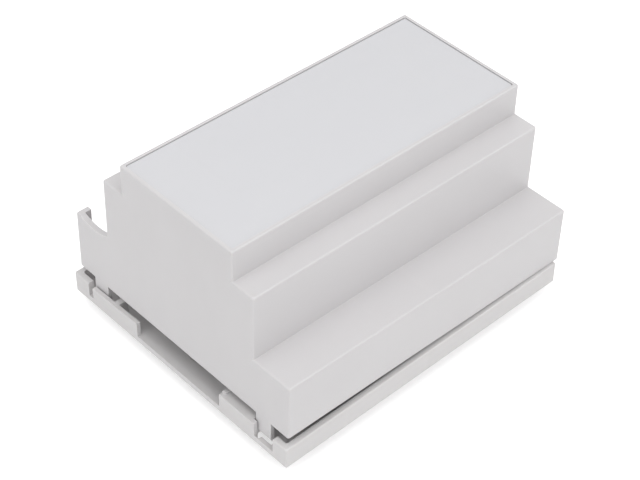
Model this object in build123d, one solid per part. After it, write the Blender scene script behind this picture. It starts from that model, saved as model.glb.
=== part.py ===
from build123d import *
import os
from math import asin, degrees

os.makedirs("parts", exist_ok=True)

# Frame, in mm: X along the rail, -Y the closed front side, +Y the open terminal side,
# +Z away from the rail. Z = 0 is the flat underside that seats on the rail's flanges.

# Overall sizes of the housing
MODULE = 17.5
MODULES = 6
BASE_W = MODULE * MODULES
BASE_D = 90.8
WALL = 1.8
FLOOR = 2.0
CORNER_R = 0.6
EDGE_R = 0.5
BASE_EDGE_R = 0.4
INNER_R = 0.6

# How far a joined solid runs into its neighbour, and a cut past the face it opens or touches
SINK = 0.5
PAST = 1.0
TOUCH = 0.01

# Levels above the rail seat
RIM_Z = 6.9
SEAM = 0.15
COVER_Z = RIM_Z + SEAM
STEP_LOW_Z = 25.5
STEP_HIGH_Z = 47.3
TOP_Z = 57.4

# Cover plan, and the two steps of its profile
COVER_W = BASE_W
COVER_D = BASE_D - 2.0
SHOULDER_D = 61.0
NOSE_D = 45.0

# How the cover sits: its -X end is not pressed home, and its legs stand behind the base's lips
LIP_T = 1.3
LEG_GAP = 0.4
COVER_SHIFT = LIP_T + LEG_GAP
COVER_RAISE = 2.5
TILT = degrees(asin(COVER_RAISE / COVER_W))

# Legs that hang from the cover's end walls, and the windows they drop into
LEG_T = 1.3
LEG_W = 5.8
LEG_Y = BASE_D / 2 - 10.8
LEG_FOOT_Z = 0.3
LEG_BEVEL = 0.5
LEG_CLEAR = 0.45
LEG_FRONT_CLEAR = 0.12

# Corner pieces, slots and low lips along each end of the base, from its corners inwards
BACK_CORNER_L = 6.5
BACK_SLOT = 1.8
BACK_LIP_L = 20.2
BACK_LIP_FALL = 0.8
FRONT_CORNER_L = 5.3
FRONT_SLOT = 7.5
FRONT_LIP_L = 14.1
FRONT_LIP_FALL = 0.1
FRONT_LIP_T = 3.3
RELIEF_R = 0.8
RELIEF_EDGE = 0.3
RELIEF_UNDER = 0.12
GUSSET_PLACE = 0.47
GUSSET_T = 1.8
GUSSET_REACH = 3.0
GUSSET_FALL = 0.3
NUB_T = 1.3
NUB_RISE = 0.5

# Open bay for the terminals along the +Y side
BAY_TOP_Z = STEP_LOW_Z + 1.3
BAY_SILL_Z = 11.0
BAY_RETURN = 3.9
BAY_DISH = 1.3
PARTITION_FOOT_Z = 12.0

# Ribs under the closed step and on the floor
RIB_T = 1.2
STEP_RIB_FOOT = 4.0
STEP_RIB_TOE = 1.4
STEP_RIB_THROAT = 5.5
STEP_RIB_REACH = 9.5
STEP_RIB_DROP = 3.0
FLOOR_RIB_H = 2.4
FLOOR_RIB_X = BASE_W / 2 - 22.5
FLOOR_RIB_Y = 13.0
FLOOR_RIB_END = 6.8

# Front panel in its recess
RIM_W = 1.1
PANEL_T = 1.6
PANEL_SINK = 0.3
PANEL_CLEAR = 0.12
PANEL_EDGE_R = 0.25
LEDGE_W = 2.2
LEDGE_T = 1.6
WINDOW_R = 1.5
TAB_W = 9.0
TAB_T = 1.2
TAB_DROP = 3.4
TAB_CLEAR = 0.3

# Board posts on the floor
POST_X = BASE_W / 2 - 9.5
POST_Y = BASE_D / 2 - 11.4
POST_R = 2.75
POST_FLARE = 0.9
PILOT_R = 1.1
PILOT_FLOOR = 1.2

# Rail feet: a fixed hook on the -Y side and a sprung sliding latch on the +Y side
RAIL_HALF = 17.5
RAIL_CLEAR = 0.25
FLANGE_T = 1.0
CATCH_Z = -(FLANGE_T + RAIL_CLEAR)
FOOT_X = BASE_W / 2 - 20.5
FOOT_W = 16.0
FOOT_DEPTH = 4.6
HOOK_Y = RAIL_HALF + 0.3
HOOK_BACK = 4.0
HOOK_REACH = 2.2
HOOK_LIP_T = 1.4
GUIDE_T = 2.6
GUIDE_LIP = 1.6
GUIDE_LIP_T = 1.1
GUIDE_START = 1.7
GUIDE_END = 1.9
LATCH_W = 14.0
LATCH_CLEAR = 0.3
LATCH_LIP_T = 1.2
LATCH_LIFT = 0.2
LATCH_END_Y = BASE_D / 2 - 1.4
PULL_W = 6.0
PULL_T = 1.6
PULL_END = 2.0
TONGUE_W = 5.2
TONGUE_SLIT = 0.8
TONGUE_START = 5.2
TONGUE_END = 7.0


def rounded_block(width, depth, z_low, z_high, edge_r=EDGE_R, corner_r=CORNER_R):
    """Upright block centred on Z with rounded corners and a rounded top edge."""
    block = extrude(RectangleRounded(width, depth, corner_r), z_high - z_low)
    block = fillet(block.edges().group_by(Axis.Z)[-1], edge_r)
    return Pos(0, 0, z_low) * block


def plain_block(x0, x1, y0, y1, z0, z1):
    """Box between two corners."""
    box = Box(x1 - x0, y1 - y0, z1 - z0)
    return Pos((x0 + x1) / 2, (y0 + y1) / 2, (z0 + z1) / 2) * box


def both_ends(shape):
    """The shape and its mirror image at the other end of the X axis."""
    return shape + mirror(shape, about=Plane.YZ)


def prism_along_x(points, x0, x1):
    """Prism whose Y-Z outline is given as points."""
    outline = make_face(Plane.YZ * Polyline(*points, close=True))
    return Pos(x0, 0, 0) * extrude(outline, x1 - x0, dir=(1, 0, 0))


def base_tray():
    """Shallow tray: floor and a low rim with a rounded outer edge."""
    tray = rounded_block(BASE_W, BASE_D, 0, RIM_Z, edge_r=BASE_EDGE_R)
    hollow = RectangleRounded(BASE_W - 2 * WALL, BASE_D - 2 * WALL, CORNER_R)
    return tray - Pos(0, 0, FLOOR) * extrude(hollow, RIM_Z)


def back_lip_span():
    """Y range of the lip nearer the +Y corner."""
    y1 = BASE_D / 2 - BACK_CORNER_L - BACK_SLOT
    return y1 - BACK_LIP_L, y1


def front_lip_span():
    """Y range of the lip nearer the -Y corner."""
    y0 = -BASE_D / 2 + FRONT_CORNER_L + FRONT_SLOT
    return y0, y0 + FRONT_LIP_L


def end_cuts():
    """Cuts at the +X end: the rim between its corner pieces, and a round hole at a slot's foot."""
    x0 = BASE_W / 2 - WALL - TOUCH
    x1 = BASE_W / 2 + PAST
    y0 = -BASE_D / 2 + FRONT_CORNER_L
    y1 = BASE_D / 2 - BACK_CORNER_L
    relief_x = BASE_W / 2 - RELIEF_EDGE - RELIEF_R
    relief_y = front_lip_span()[0] - RELIEF_R + RELIEF_UNDER
    cuts = plain_block(x0, x1, y0, y1, FLOOR, RIM_Z + PAST)
    return cuts + Pos(relief_x, relief_y, 0) * Cylinder(RELIEF_R, 2 * (FLOOR + PAST))


def end_lips():
    """Two lips on the +X end of the floor. The -Y one is thick up to the leg beside it and has
    a raised nub at its inner end; the +Y one is thin, with a sloping top."""
    x1 = BASE_W / 2
    x0 = x1 - LIP_T
    foot = FLOOR - SINK
    y0, y1 = back_lip_span()
    lips = prism_along_x([(y0, foot), (y1, foot), (y1, RIM_Z - BACK_LIP_FALL), (y0, RIM_Z)], x0, x1)
    y0, y1 = front_lip_span()
    top = RIM_Z - FRONT_LIP_FALL
    lips += plain_block(x0, x1, y0, y1, foot, top)
    lips += plain_block(x1 - FRONT_LIP_T, x1, leg_inner_y(), y1, foot, top)
    return lips + plain_block(x1 - FRONT_LIP_T, x0, y1 - NUB_T, y1, foot, top + NUB_RISE)


def leg_inner_y():
    """Y that clears the inner side of the leg nearer the -Y corner."""
    return -LEG_Y + LEG_W / 2 + LEG_CLEAR


def gusset():
    """Small rib that braces the thin lip from inside, with its top near the lip's."""
    x1 = BASE_W / 2 - 0.5 * LIP_T
    x0 = BASE_W / 2 - LIP_T - GUSSET_REACH
    y0 = back_lip_span()[0] + GUSSET_PLACE * BACK_LIP_L
    return plain_block(x0, x1, y0, y0 + GUSSET_T, FLOOR - SINK, RIM_Z - GUSSET_FALL)


def leg_windows():
    """Openings in the floor that the legs of one cover end drop into."""
    x1 = BASE_W / 2 - LIP_T - LEG_FRONT_CLEAR
    x0 = BASE_W / 2 - COVER_SHIFT - LEG_T - LEG_CLEAR
    half = LEG_W / 2 + LEG_CLEAR
    back = plain_block(x0, x1, LEG_Y - half, LEG_Y + half, -PAST, FLOOR + TOUCH)
    return back + mirror(back, about=Plane.XZ)


def floor_ribs():
    """Low ribs that stiffen the floor under the board."""
    half_x = BASE_W / 2 - FLOOR_RIB_END
    half_y = BASE_D / 2 - FLOOR_RIB_END
    z0 = FLOOR - SINK
    z1 = FLOOR + FLOOR_RIB_H
    ribs = Part()
    for y in (-FLOOR_RIB_Y, FLOOR_RIB_Y):
        ribs += plain_block(-half_x, half_x, y - RIB_T / 2, y + RIB_T / 2, z0, z1)
    for x in (-FLOOR_RIB_X, 0.0, FLOOR_RIB_X):
        ribs += plain_block(x - RIB_T / 2, x + RIB_T / 2, -half_y, half_y, z0, z1)
    return ribs


def board_posts():
    """Posts with flared feet at the board's corners."""
    z0 = FLOOR - SINK
    foot = Pos(0, 0, z0 + POST_FLARE) * Cone(POST_R + POST_FLARE, POST_R, 2 * POST_FLARE)
    post = Pos(0, 0, (z0 + RIM_Z) / 2) * Cylinder(POST_R, RIM_Z - z0)
    return Part() + [place * (post + foot) for place in post_places()]


def post_places():
    """The four corners of the board's screw pattern."""
    return GridLocations(2 * POST_X, 2 * POST_Y, 2, 2)


def pilot_holes():
    """Blind holes down the board posts."""
    depth = RIM_Z - PILOT_FLOOR + PAST
    hole = Pos(0, 0, PILOT_FLOOR + depth / 2) * Cylinder(PILOT_R, depth)
    return [place * hole for place in post_places()]


def fixed_hook(x):
    """Hook that reaches under the rail's -Y flange."""
    outline = [
        (-HOOK_Y - HOOK_BACK, SINK),
        (-HOOK_Y, SINK),
        (-HOOK_Y, CATCH_Z),
        (-HOOK_Y + HOOK_REACH, CATCH_Z),
        (-HOOK_Y + HOOK_REACH, CATCH_Z - HOOK_LIP_T),
        (-HOOK_Y, -FOOT_DEPTH),
        (-HOOK_Y - HOOK_BACK, -FOOT_DEPTH),
    ]
    return prism_along_x(outline, x - FOOT_W / 2, x + FOOT_W / 2)


def latch_guides(x):
    """Two undercut rails that the latch slides between."""
    y0 = HOOK_Y + GUIDE_START
    y1 = BASE_D / 2 - GUIDE_END
    inner = LATCH_W / 2 + LATCH_CLEAR
    wall = plain_block(inner, inner + GUIDE_T, y0, y1, -FOOT_DEPTH, SINK)
    lip_z = -FOOT_DEPTH + GUIDE_LIP_T
    wall += plain_block(inner - GUIDE_LIP, inner + SINK, y0, y1, -FOOT_DEPTH, lip_z)
    return Pos(x, 0, 0) * (wall + mirror(wall, about=Plane.YZ))


def base():
    """Base moulding: tray, end lips, board posts, ribs, rail hooks and latch guides."""
    body = base_tray() - both_ends(end_cuts())
    body += both_ends(end_lips() + gusset())
    body += floor_ribs()
    body += board_posts()
    body -= both_ends(leg_windows())
    for hole in pilot_holes():
        body -= hole
    for x in (-FOOT_X, FOOT_X):
        body += fixed_hook(x)
        body += latch_guides(x)
    return body


def cover_skin():
    """Stepped outer form: rounded blocks of one width, one on another; the bay's rises higher."""
    skin = rounded_block(COVER_W, COVER_D, COVER_Z, STEP_LOW_Z)
    bay_depth = (COVER_D - SHOULDER_D) / 2 + WALL
    bay = rounded_block(COVER_W, bay_depth, STEP_LOW_Z - WALL, BAY_TOP_Z)
    skin += Pos(0, (COVER_D - bay_depth) / 2, 0) * bay
    skin += rounded_block(COVER_W, SHOULDER_D, STEP_LOW_Z - WALL, STEP_HIGH_Z)
    return skin + rounded_block(COVER_W, NOSE_D, STEP_HIGH_Z - WALL, TOP_Z)


def seat_z():
    """Level of the ledge that the front panel lies on."""
    return TOP_Z - PANEL_SINK - PANEL_T


def cover_hollow():
    """Inside of the cover, one wall in from each outer face."""
    depths = (COVER_D, SHOULDER_D, NOSE_D)
    tops = (STEP_LOW_Z - WALL, STEP_HIGH_Z - WALL, seat_z() - LEDGE_T)
    hollow = Part()
    for depth, top in zip(depths, tops):
        plan = RectangleRounded(COVER_W - 2 * WALL, depth - 2 * WALL, INNER_R)
        hollow += Pos(0, 0, COVER_Z - PAST) * extrude(plan, top - COVER_Z + PAST)
    return hollow


def panel_recess():
    """Seat of the front panel and the window below it."""
    width = COVER_W - 2 * RIM_W
    depth = NOSE_D - 2 * RIM_W
    seat = Pos(0, 0, seat_z()) * extrude(RectangleRounded(width, depth, INNER_R), 2 * PANEL_T)
    window = RectangleRounded(width - 2 * LEDGE_W, depth - 2 * LEDGE_W, WINDOW_R)
    return seat + Pos(0, 0, seat_z() - LEDGE_T - PAST) * extrude(window, LEDGE_T + 2 * PAST)


def terminal_bay_cut():
    """Opens the +Y step: its tread, and the back wall between the two corner returns."""
    inner_x = COVER_W / 2 - WALL
    gap_x = COVER_W / 2 - BAY_RETURN
    y0 = SHOULDER_D / 2
    y1 = COVER_D / 2 - WALL
    top = BAY_TOP_Z + PAST
    tread = plain_block(-inner_x, inner_x, y0, y1, STEP_LOW_Z - WALL - PAST, top)
    return tread + plain_block(-gap_x, gap_x, y1 - SINK, y1 + WALL + PAST, BAY_SILL_Z, top)


def bay_dish():
    """Arc that hollows the top edge of both end walls, from the shoulder to the corner returns."""
    y0 = SHOULDER_D / 2
    y1 = COVER_D / 2 - WALL
    radius = ((y1 - y0) ** 2 / 4 + BAY_DISH ** 2) / (2 * BAY_DISH)
    roll = Rot(0, 90, 0) * Cylinder(radius, COVER_W + 2 * PAST)
    roll = Pos(0, (y0 + y1) / 2, BAY_TOP_Z - BAY_DISH + radius) * roll
    half = COVER_W / 2 + PAST
    return roll & plain_block(-half, half, y0, y1, BAY_TOP_Z - 2 * BAY_DISH, BAY_TOP_Z + PAST)


def partition():
    """Wall between the bay and the board space, down from the +Y shoulder."""
    half = COVER_W / 2 - WALL / 2
    y1 = SHOULDER_D / 2
    return plain_block(-half, half, y1 - WALL, y1, PARTITION_FOOT_Z, STEP_LOW_Z)


def step_ribs():
    """Ribs inside the closed -Y step, joining its wall to its tread."""
    wall_y = -COVER_D / 2 + WALL / 2
    tread_z = STEP_LOW_Z - WALL / 2
    foot_z = COVER_Z + STEP_RIB_FOOT
    outline = [
        (wall_y, foot_z),
        (wall_y + STEP_RIB_TOE, foot_z),
        (wall_y + STEP_RIB_THROAT, tread_z - STEP_RIB_DROP),
        (wall_y + STEP_RIB_REACH, tread_z),
        (wall_y, tread_z),
    ]
    ribs = Part()
    for step in range(1, MODULES):
        x = (step - MODULES / 2) * MODULE
        ribs += prism_along_x(outline, x - RIB_T / 2, x + RIB_T / 2)
    return ribs


def cover_legs():
    """Four legs flush with the outer faces of the end walls, with bevelled feet."""
    x1 = COVER_W / 2
    half = LEG_W / 2
    leg = plain_block(x1 - LEG_T, x1, -half, half, LEG_FOOT_Z, COVER_Z + WALL)
    leg = chamfer(leg.edges().filter_by(Axis.Y).group_by(Axis.Z)[0], LEG_BEVEL)
    pair = Pos(0, LEG_Y, 0) * leg + Pos(0, -LEG_Y, 0) * leg
    return both_ends(pair)


def cover():
    """Cover moulding, closed on the base: stepped shell, panel seat, bay, ribs and legs."""
    body = cover_skin() - cover_hollow()
    body -= panel_recess()
    body -= terminal_bay_cut()
    body += partition()
    body -= bay_dish()
    body += step_ribs()
    return body + cover_legs()


def front_panel():
    """Flat panel with four tabs that reach through the window below it."""
    width = COVER_W - 2 * RIM_W - 2 * PANEL_CLEAR
    depth = NOSE_D - 2 * RIM_W - 2 * PANEL_CLEAR
    z0 = seat_z()
    plate = rounded_block(width, depth, z0, z0 + PANEL_T, PANEL_EDGE_R, INNER_R)
    tab_y = NOSE_D / 2 - RIM_W - LEDGE_W - TAB_CLEAR - TAB_T
    tab = plain_block(-TAB_W / 2, TAB_W / 2, tab_y, tab_y + TAB_T, z0 - TAB_DROP, z0 + SINK)
    for x in (-COVER_W / 3, COVER_W / 3):
        plate += Pos(x, 0, 0) * (tab + mirror(tab, about=Plane.XZ))
    return plate


def sit_on_base(shape):
    """Raises the -X end about the lower +X edge and sets the cover over to +X."""
    hinge_line = Axis((COVER_W / 2, 0, COVER_Z), (0, 1, 0))
    return Pos(COVER_SHIFT, 0, 0) * shape.rotate(hinge_line, TILT)


def latch_bar():
    """Bar that runs in the guides, with a ramped nose that takes the rail's +Y flange."""
    foot_z = -FOOT_DEPTH + LATCH_LIFT
    outline = [
        (HOOK_Y - HOOK_REACH, CATCH_Z),
        (HOOK_Y, CATCH_Z),
        (HOOK_Y, -RAIL_CLEAR),
        (LATCH_END_Y, -RAIL_CLEAR),
        (LATCH_END_Y, foot_z),
        (HOOK_Y, foot_z),
        (HOOK_Y - HOOK_REACH, CATCH_Z - LATCH_LIP_T),
    ]
    half_in = LATCH_W / 2 - GUIDE_LIP
    bar = prism_along_x(outline, -half_in, half_in)
    lip_z = -FOOT_DEPTH + GUIDE_LIP_T + RAIL_CLEAR
    half = LATCH_W / 2
    return bar + plain_block(-half, half, HOOK_Y, LATCH_END_Y, lip_z, -RAIL_CLEAR)


def rail_latch(x):
    """Sliding latch: the bar, a slot to pull it by and a spring tongue slit free of it."""
    z0 = -FOOT_DEPTH - PAST
    pull_y = LATCH_END_Y - PULL_END
    bar = latch_bar() - plain_block(-PULL_W / 2, PULL_W / 2, pull_y - PULL_T, pull_y, z0, PAST)
    y0 = HOOK_Y + TONGUE_START
    y1 = LATCH_END_Y - TONGUE_END
    half = TONGUE_W / 2
    slit = plain_block(half, half + TONGUE_SLIT, y0, y1, z0, PAST)
    bar -= slit + mirror(slit, about=Plane.YZ)
    bar -= plain_block(-half - TONGUE_SLIT / 2, half + TONGUE_SLIT / 2, y0, y0 + TONGUE_SLIT, z0, PAST)
    return Pos(x, 0, 0) * bar


def main():
    """Writes one file for each moulding."""
    export_step(base(), "parts/base.step")
    export_step(sit_on_base(cover()), "parts/cover.step")
    export_step(sit_on_base(front_panel()), "parts/front_panel.step")
    export_step(rail_latch(-FOOT_X), "parts/rail_latch_left.step")
    export_step(rail_latch(FOOT_X), "parts/rail_latch_right.step")


main()
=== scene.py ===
"""Looks of the rail-mount housing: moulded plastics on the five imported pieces, floor, light and camera."""
import math

import bpy
from mathutils import Matrix, Vector


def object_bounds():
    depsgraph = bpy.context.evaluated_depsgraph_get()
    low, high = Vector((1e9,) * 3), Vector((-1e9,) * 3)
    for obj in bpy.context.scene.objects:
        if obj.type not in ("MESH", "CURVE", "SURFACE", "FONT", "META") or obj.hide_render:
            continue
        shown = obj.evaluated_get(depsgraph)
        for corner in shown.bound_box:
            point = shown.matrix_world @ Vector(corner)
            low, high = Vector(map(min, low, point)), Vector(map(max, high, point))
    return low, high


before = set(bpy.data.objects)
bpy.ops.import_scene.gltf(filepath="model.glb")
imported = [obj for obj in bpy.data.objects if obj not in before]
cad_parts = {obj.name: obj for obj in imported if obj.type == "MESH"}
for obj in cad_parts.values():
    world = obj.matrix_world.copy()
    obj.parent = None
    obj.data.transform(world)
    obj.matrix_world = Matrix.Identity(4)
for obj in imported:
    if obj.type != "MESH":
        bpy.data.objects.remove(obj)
CAD_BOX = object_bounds()

MM = 0.001
LOW = CAD_BOX[0]

# Colours as they are seen under white light, in sRGB
SHELL_GREY = "#D3D1D2"
SHELL_GREY_DEEP = "#CFCDCE"
BASE_GREY = "#D5D3D3"
BASE_GREY_DEEP = "#D1CFCF"
PANEL_GREY = "#D3D3D6"
PANEL_GREY_DEEP = "#D1D1D4"
LATCH_GREY = "#C4C4C0"
LATCH_GREY_DEEP = "#BEBEB9"
# Painted highlight: a paler grey laid on the rounded edges in place of the light they catch
EDGE_PAINTED_HIGHLIGHT = "#E4E2E3"
FLOOR_WHITE = "#EEEEEE"

# What all the moulded plastics share; lengths in mm
PLASTIC_IOR = 1.54
SCATTER_SHARE = 0.25
SCATTER_DEPTH = 0.6
FLOW_W = 9.0
HANDLED_W = 22.0
GLOSS_DRIFT = 0.06
EDGE_R = 0.35
# How far the colour goes towards the painted edge highlight
EDGE_HIGHLIGHT_SHARE = 0.55
EDGE_GLOSS = 0.7

# Marks that the tool leaves, in mm: ejector pins push on the inner side, sinks lie over ribs
PIN_R = 2.0
PIN_RIM_IN = 0.25
PIN_RIM_OUT = 0.05
PIN_DEPTH = 0.12
SINK_HALF_W = 1.6
SINK_DEPTH = 0.02
FACING = 0.95

# Sizes of the housing that the marks follow, in mm
MODULE = 17.5
COVER_SHIFT = 1.7
STEP_EDGE_Y = -30.6
NOSE_HALF_D = 22.5
RIB_X = 30.0
RIB_Y = 13.0
RIB_END_Y = 38.6
FOOT_X = 32.0

# Where each moulding's marks are: start and pitch of its pins, the side they are on (+1 up,
# -1 down), start and pitch of its sinks along X, and how far they reach in Y
SHELL_MARKS = {
    "pin_x": -COVER_SHIFT, "pin_y": MODULE / 2,
    "pin_pitch_x": 2 * MODULE, "pin_pitch_y": MODULE, "pin_side": -1.0,
    "sink_x": -COVER_SHIFT, "sink_pitch": MODULE, "sink_y_below": STEP_EDGE_Y}
BASE_MARKS = {
    "pin_x": RIB_X / 2, "pin_y": 0.0,
    "pin_pitch_x": RIB_X, "pin_pitch_y": 2 * RIB_Y, "pin_side": 1.0,
    "sink_x": 0.0, "sink_pitch": RIB_X, "sink_y_below": RIB_END_Y}
PANEL_MARKS = {
    "pin_x": -COVER_SHIFT, "pin_y": 7.0,
    "pin_pitch_x": MODULE, "pin_pitch_y": 14.0, "pin_side": -1.0,
    "sink_x": -COVER_SHIFT - 2 * MODULE, "sink_pitch": 4 * MODULE, "sink_y_below": NOSE_HALF_D}
LATCH_MARKS = {
    "pin_x": FOOT_X, "pin_y": -20.5,
    "pin_pitch_x": 2 * FOOT_X, "pin_pitch_y": 100.0, "pin_side": -1.0,
    "sink_x": FOOT_X, "sink_pitch": 2 * FOOT_X, "sink_y_below": 45.0}

# Light levels, and the floor's small drop below the feet, in metres
WORLD_LIGHT = 0.69
FLOOR_LIFT = 0.45
FLOOR_SIZE = 6.0
FLOOR_DROP = 0.00005
LAMP_DISTANCE = 0.7

# Camera fit, in degrees, metres and pixels of the 640-wide picture
PHOTO_W = 640
SENSOR_W = 36.0
LOOK_AT = Vector((0, 0, 0.030))
VIEW_AZIMUTH = -43.088
VIEW_ELEVATION = 43.0
VIEW_ROLL = 0.528
VIEW_RIGHT = 0.000905
VIEW_UP = -0.009029
VIEW_DISTANCE = 0.496421
VIEW_FOCAL_PX = 1778.684
VIEW_CLIP = 0.01


def linear(hex_colour):
    """Linear RGBA of an sRGB hex colour."""
    def channel(pair):
        value = int(pair, 16) / 255
        return value / 12.92 if value <= 0.04045 else ((value + 0.055) / 1.055) ** 2.4
    digits = hex_colour.lstrip("#")
    return (*(channel(digits[i:i + 2]) for i in (0, 2, 4)), 1.0)


def add(tree, kind, settings=None, inputs=None):
    """Adds a node; each input is a value or another node's output."""
    node = tree.nodes.new(kind)
    for name, value in (settings or {}).items():
        setattr(node, name, value)
    for name, value in (inputs or {}).items():
        if isinstance(value, bpy.types.NodeSocket):
            tree.links.new(value, node.inputs[name])
        else:
            node.inputs[name].default_value = value
    return node


def new_material(name):
    """Empty node material."""
    material = bpy.data.materials.new(name)
    material.use_nodes = True
    material.node_tree.nodes.clear()
    return material, material.node_tree


def grain_bump(tree, place, grain_mm, grain_height_mm):
    """Even grain of a spark-eroded tool. The real one is about 0.06 mm; it is drawn coarser to show."""
    grain = add(tree, "ShaderNodeTexNoise", inputs={
        "Vector": place, "Scale": 1 / (grain_mm * MM), "Detail": 2.0, "Roughness": 0.6})
    bump = add(tree, "ShaderNodeBump", inputs={
        "Height": grain.outputs["Fac"], "Distance": grain_height_mm * MM, "Strength": 0.6})
    return bump.outputs["Normal"]


def pin_bump(tree, place, true_normal, normal, marks):
    """Shallow round marks of the ejector pins: the distance from the nearest one makes a sunk disc."""
    half = (marks["pin_pitch_x"] * MM / 2, marks["pin_pitch_y"] * MM / 2, 1.0)
    start = add(tree, "ShaderNodeVectorMath", {"operation": "ADD"}, {
        0: place, 1: (marks["pin_x"] * MM, marks["pin_y"] * MM, 0)})
    cell = add(tree, "ShaderNodeVectorMath", {"operation": "WRAP"}, {
        0: start.outputs["Vector"], 1: half, 2: tuple(-value for value in half)})
    flat = add(tree, "ShaderNodeVectorMath", {"operation": "MULTIPLY"}, {
        0: cell.outputs["Vector"], 1: (1.0, 1.0, 0.0)})
    distance = add(tree, "ShaderNodeVectorMath", {"operation": "LENGTH"}, {
        0: flat.outputs["Vector"]})
    rim = add(tree, "ShaderNodeMapRange", {"interpolation_type": "SMOOTHSTEP"}, {
        "Value": distance.outputs["Value"],
        "From Min": (PIN_R - PIN_RIM_IN) * MM, "From Max": (PIN_R + PIN_RIM_OUT) * MM})
    side = add(tree, "ShaderNodeVectorMath", {"operation": "DOT_PRODUCT"}, {
        0: true_normal, 1: (0, 0, marks["pin_side"])})
    on_side = add(tree, "ShaderNodeMath", {"operation": "GREATER_THAN"}, {
        0: side.outputs["Value"], 1: FACING})
    height = add(tree, "ShaderNodeMath", {"operation": "MULTIPLY"}, {
        0: rim.outputs["Result"], 1: on_side.outputs["Value"]})
    bump = add(tree, "ShaderNodeBump", inputs={
        "Height": height.outputs["Value"], "Distance": PIN_DEPTH * MM, "Normal": normal})
    return bump.outputs["Normal"]


def sink_bump(tree, place, normal, marks):
    """Faint hollows along X, where the ribs behind the face shrank as they cooled."""
    across = add(tree, "ShaderNodeSeparateXYZ", inputs={"Vector": place})
    half = marks["sink_pitch"] * MM / 2
    start = add(tree, "ShaderNodeMath", {"operation": "ADD"}, {
        0: across.outputs["X"], 1: marks["sink_x"] * MM})
    cell = add(tree, "ShaderNodeMath", {"operation": "WRAP"}, {
        0: start.outputs["Value"], 1: half, 2: -half})
    distance = add(tree, "ShaderNodeMath", {"operation": "ABSOLUTE"}, {
        0: cell.outputs["Value"]})
    height = add(tree, "ShaderNodeMapRange", {"interpolation_type": "SMOOTHSTEP"}, {
        "Value": distance.outputs["Value"], "From Min": 0.0, "From Max": SINK_HALF_W * MM})
    ribbed = add(tree, "ShaderNodeMath", {"operation": "LESS_THAN"}, {
        0: across.outputs["Y"], 1: marks["sink_y_below"] * MM})
    bump = add(tree, "ShaderNodeBump", inputs={
        "Height": height.outputs["Result"], "Distance": SINK_DEPTH * MM,
        "Strength": ribbed.outputs["Value"], "Normal": normal})
    return bump.outputs["Normal"]


def moulded_plastic(name, grey, grey_deep, roughness, grain_mm, grain_height_mm, marks):
    """Plastic moulded against a spark-eroded tool.

    The tool's texture gives a fine even grain and a soft satin gloss. Edges come from the
    polished radius of the tool, so they are glossier than the faces; their paler colour is a
    painted highlight. The pigment drifts very slightly along the flow of the melt. Light goes
    a little way into the plastic, which softens its shadows. The ejector pins leave shallow
    round marks on the inner side, and the ribs leave faint sink marks on the outer side.
    """
    material, tree = new_material(name)
    place = add(tree, "ShaderNodeTexCoord").outputs["Object"]
    true_normal = add(tree, "ShaderNodeNewGeometry").outputs["Normal"]
    normal = grain_bump(tree, place, grain_mm, grain_height_mm)
    normal = pin_bump(tree, place, true_normal, normal, marks)
    normal = sink_bump(tree, place, normal, marks)

    # Melt flow: faint drift of colour, about 30 mm long and 9 mm wide
    flow_place = add(tree, "ShaderNodeMapping", inputs={"Vector": place, "Scale": (0.3, 1.0, 0.6)})
    flow = add(tree, "ShaderNodeTexNoise", inputs={
        "Vector": flow_place.outputs["Vector"], "Scale": 1 / (FLOW_W * MM), "Detail": 3.0})

    # Handling: broad patches that fingers have burnished
    handled = add(tree, "ShaderNodeTexNoise", inputs={
        "Vector": place, "Scale": 1 / (HANDLED_W * MM), "Detail": 1.0})

    # Edge: how far the surface turns within a third of a millimetre
    rounded = add(tree, "ShaderNodeBevel", {"samples": 6}, {"Radius": EDGE_R * MM})
    facing = add(tree, "ShaderNodeVectorMath", {"operation": "DOT_PRODUCT"}, {
        0: rounded.outputs["Normal"], 1: true_normal})
    edge = add(tree, "ShaderNodeMapRange", inputs={
        "Value": facing.outputs["Value"], "From Min": 0.998, "From Max": 0.93})
    # Painted highlight: the edges are mixed towards a paler grey
    edge_highlight = add(tree, "ShaderNodeMath", {"operation": "MULTIPLY"}, {
        0: edge.outputs["Result"], 1: EDGE_HIGHLIGHT_SHARE})

    face_colour = add(tree, "ShaderNodeMix", {"data_type": "RGBA"}, {
        "Factor": flow.outputs["Fac"], "A": linear(grey), "B": linear(grey_deep)})
    colour = add(tree, "ShaderNodeMix", {"data_type": "RGBA"}, {
        "Factor": edge_highlight.outputs["Value"],
        "A": face_colour.outputs["Result"], "B": linear(EDGE_PAINTED_HIGHLIGHT)})
    gloss = add(tree, "ShaderNodeMapRange", inputs={
        "Value": handled.outputs["Fac"],
        "To Min": roughness - GLOSS_DRIFT, "To Max": roughness + GLOSS_DRIFT})
    edge_gloss = add(tree, "ShaderNodeMix", {"data_type": "FLOAT"}, {
        "Factor": edge.outputs["Result"],
        "A": gloss.outputs["Result"], "B": EDGE_GLOSS * roughness})
    plastic = add(tree, "ShaderNodeBsdfPrincipled", inputs={
        "Base Color": colour.outputs["Result"],
        "Roughness": edge_gloss.outputs["Result"],
        "IOR": PLASTIC_IOR,
        "Subsurface Weight": SCATTER_SHARE,
        "Subsurface Radius": (1.0, 0.95, 0.9),
        "Subsurface Scale": SCATTER_DEPTH * MM,
        "Normal": normal,
    })
    add(tree, "ShaderNodeOutputMaterial", inputs={"Surface": plastic.outputs["BSDF"]})
    return material


def dress(node, material):
    """Puts a material on every slot of a CAD node."""
    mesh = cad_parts[node].data
    if not mesh.materials:
        mesh.materials.append(material)
    for slot in range(len(mesh.materials)):
        mesh.materials[slot] = material


def seen_ray(tree):
    """1 for a camera or glossy ray, 0 for light that falls on the object."""
    ray = add(tree, "ShaderNodeLightPath")
    seen = add(tree, "ShaderNodeMath", {"operation": "MAXIMUM"}, {
        0: ray.outputs["Is Camera Ray"], 1: ray.outputs["Is Glossy Ray"]})
    return seen.outputs["Value"]


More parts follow.
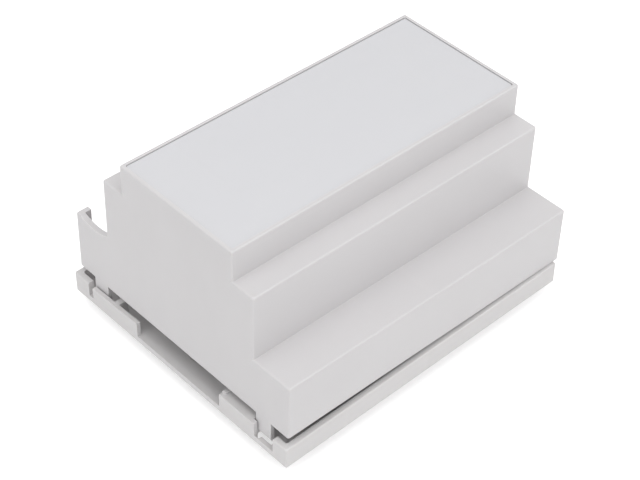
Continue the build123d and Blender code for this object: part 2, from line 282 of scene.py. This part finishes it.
def white_floor():
    """White card: seen white, with the object's soft shadow kept on it, and clear from below."""
    bpy.ops.mesh.primitive_plane_add(size=FLOOR_SIZE, location=(0, 0, LOW[2] - FLOOR_DROP))
    floor = bpy.context.object
    floor.name = "floor"
    material, tree = new_material("white_card_matt")
    lift = add(tree, "ShaderNodeMath", {"operation": "MULTIPLY"}, {
        0: seen_ray(tree), 1: FLOOR_LIFT})
    card = add(tree, "ShaderNodeBsdfDiffuse", inputs={"Color": linear(FLOOR_WHITE)})
    glow = add(tree, "ShaderNodeEmission", inputs={"Strength": lift.outputs["Value"]})
    both = add(tree, "ShaderNodeAddShader", inputs={
        0: card.outputs["BSDF"], 1: glow.outputs["Emission"]})
    below = add(tree, "ShaderNodeNewGeometry").outputs["Backfacing"]
    clear = add(tree, "ShaderNodeBsdfTransparent").outputs["BSDF"]
    sheet = add(tree, "ShaderNodeMixShader", inputs={0: below, 1: both.outputs["Shader"], 2: clear})
    add(tree, "ShaderNodeOutputMaterial", inputs={"Surface": sheet.outputs["Shader"]})
    floor.data.materials.append(material)


def soft_room():
    """Even white room: seen white, and a little dimmer as light."""
    world = bpy.data.worlds.new("soft_room")
    bpy.context.scene.world = world
    world.use_nodes = True
    tree = world.node_tree
    tree.nodes.clear()
    strength = add(tree, "ShaderNodeMapRange", inputs={
        "Value": seen_ray(tree), "To Min": WORLD_LIGHT, "To Max": 1.0})
    room = add(tree, "ShaderNodeBackground", inputs={
        "Color": (1.0, 1.0, 1.0, 1.0), "Strength": strength.outputs["Result"]})
    add(tree, "ShaderNodeOutputWorld", inputs={"Surface": room.outputs["Background"]})


def away(azimuth, elevation):
    """Unit vector from the object towards a place round it; azimuth 0 is the -Y side."""
    a = math.radians(azimuth)
    e = math.radians(elevation)
    return Vector((math.sin(a) * math.cos(e), -math.cos(a) * math.cos(e), math.sin(e)))


def softbox(name, azimuth, elevation, size, power):
    """Square soft light that faces the middle of the object."""
    light = bpy.data.lights.new(name, "AREA")
    light.shape = "SQUARE"
    light.size = size
    light.energy = power
    lamp = bpy.data.objects.new(name, light)
    bpy.context.scene.collection.objects.link(lamp)
    out = away(azimuth, elevation)
    lamp.location = LOOK_AT + LAMP_DISTANCE * out
    lamp.rotation_euler = out.to_track_quat("Z", "Y").to_euler()


def camera():
    """Camera at the photograph's place: found by fitting it to the object's edges."""
    azimuth = math.radians(VIEW_AZIMUTH)
    roll = math.radians(VIEW_ROLL)
    back = away(VIEW_AZIMUTH, VIEW_ELEVATION)
    level_right = Vector((math.cos(azimuth), math.sin(azimuth), 0))
    level_up = back.cross(level_right)
    right = level_right * math.cos(roll) + level_up * math.sin(roll)
    up = level_up * math.cos(roll) - level_right * math.sin(roll)
    data = bpy.data.cameras.new("camera")
    data.sensor_width = SENSOR_W
    data.lens = VIEW_FOCAL_PX * SENSOR_W / PHOTO_W
    data.clip_start = VIEW_CLIP
    eye = bpy.data.objects.new("camera", data)
    place = LOOK_AT + VIEW_RIGHT * right + VIEW_UP * up + VIEW_DISTANCE * back
    turn = Matrix((right, up, back)).transposed().to_4x4()
    eye.matrix_world = Matrix.Translation(place) @ turn
    bpy.context.scene.collection.objects.link(eye)
    bpy.context.scene.camera = eye


SHELL = moulded_plastic(
    "abs_shell_light_grey", SHELL_GREY, SHELL_GREY_DEEP, 0.42, 0.4, 0.02, SHELL_MARKS)
TRAY = moulded_plastic(
    "abs_base_light_grey", BASE_GREY, BASE_GREY_DEEP, 0.45, 0.4, 0.02, BASE_MARKS)
PANEL = moulded_plastic(
    "abs_panel_pale_grey", PANEL_GREY, PANEL_GREY_DEEP, 0.32, 0.5, 0.008, PANEL_MARKS)
LATCH = moulded_plastic(
    "acetal_latch_grey", LATCH_GREY, LATCH_GREY_DEEP, 0.35, 0.4, 0.012, LATCH_MARKS)
dress("cover", SHELL)
dress("base", TRAY)
dress("front_panel", PANEL)
dress("rail_latch_left", LATCH)
dress("rail_latch_right", LATCH)

white_floor()
soft_room()
softbox("key_softbox", -45, 80, 0.5, 1.42)
softbox("front_softbox", -8, 32, 0.4, 0.74)
softbox("left_softbox", -88, 33, 0.4, 0.46)
softbox("right_softbox", 60, 30, 0.5, 0.25)
camera()

bpy.context.scene.view_settings.view_transform = "Standard"
